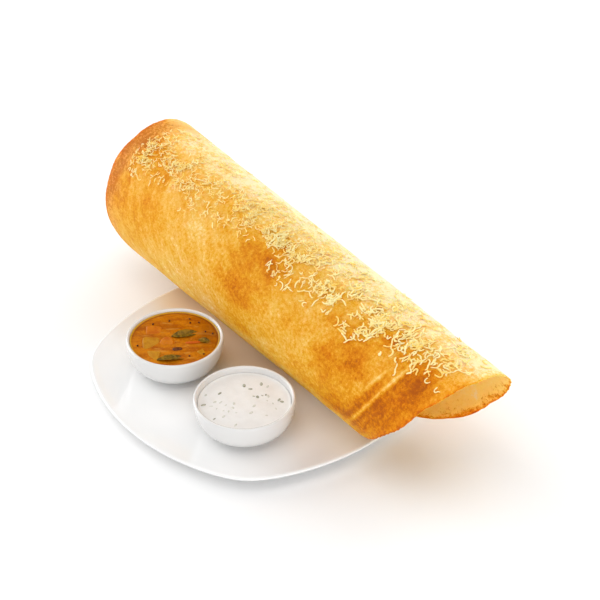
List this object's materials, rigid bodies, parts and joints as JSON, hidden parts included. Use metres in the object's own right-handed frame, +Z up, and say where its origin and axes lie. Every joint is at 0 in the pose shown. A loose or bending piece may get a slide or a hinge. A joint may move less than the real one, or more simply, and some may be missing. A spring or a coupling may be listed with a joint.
{
  "type": "masala dosa",
  "caption": "Plated masala dosa: a thin golden crepe rolled into an open tube, lying across a bulging square plate with a bowl of sambar and a bowl of coconut chutney.",
  "frame": {"origin": "middle of the serving's box, on the surface that the plate stands on", "axes": "+X along the roll towards its narrow mouth, +Y from the bowls towards the roll, +Z up"},
  "size_m": [0.404, 0.2478, 0.1195],
  "materials": {
    "porcelain": "smooth white glaze",
    "crepe": "crisp golden crepe, browned in patches; matte_plastic stands in for cooked batter",
    "sambar": "thin orange-brown lentil stew with an oily shine; gloss_plastic stands in for liquid",
    "chutney": "thick off-white coconut chutney; gloss_plastic stands in for paste"
  },
  "bodies": {
    "root": {"plate": "porcelain", "sambar_bowl": "porcelain", "chutney_bowl": "porcelain", "sambar": "sambar", "chutney": "chutney", "dosa_roll": "crepe"}
  },
  "joints": []
}
